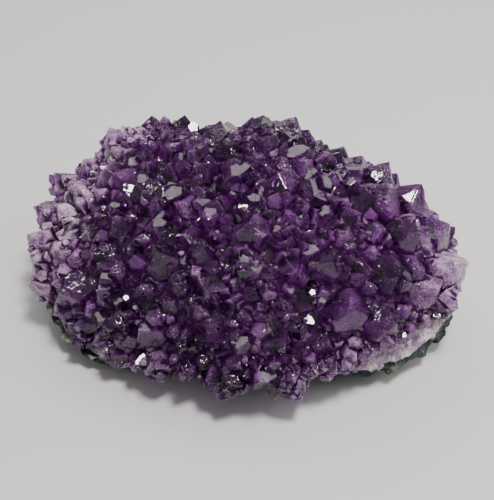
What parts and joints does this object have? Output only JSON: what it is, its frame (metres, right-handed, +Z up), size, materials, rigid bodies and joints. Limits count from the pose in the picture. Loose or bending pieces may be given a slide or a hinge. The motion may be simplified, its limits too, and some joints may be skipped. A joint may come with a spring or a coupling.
{
  "type": "amethyst crystal cluster",
  "caption": "A hand-sized domed bed of purple quartz crystals, grown together into one crust on a pale quartz layer and a dark green rock rind that is flat where it rests",
  "frame": {"origin": "on the flat face that the rind rests on, under the middle of the cluster", "axes": "+Z up from the flat foot, +X along the longest side to the right, +Y away from the side that the picture shows"},
  "size_m": [0.1178, 0.0882, 0.0461],
  "materials": {
    "amethyst": "clear to cloudy purple quartz with glossy flat faces",
    "white_quartz": "milky granular quartz",
    "green_rock": "rough dark green rock with pale specks"
  },
  "bodies": {
    "root": {"amethyst_crystals": "amethyst", "white_quartz": "white_quartz", "green_rind": "green_rock"}
  },
  "joints": []
}
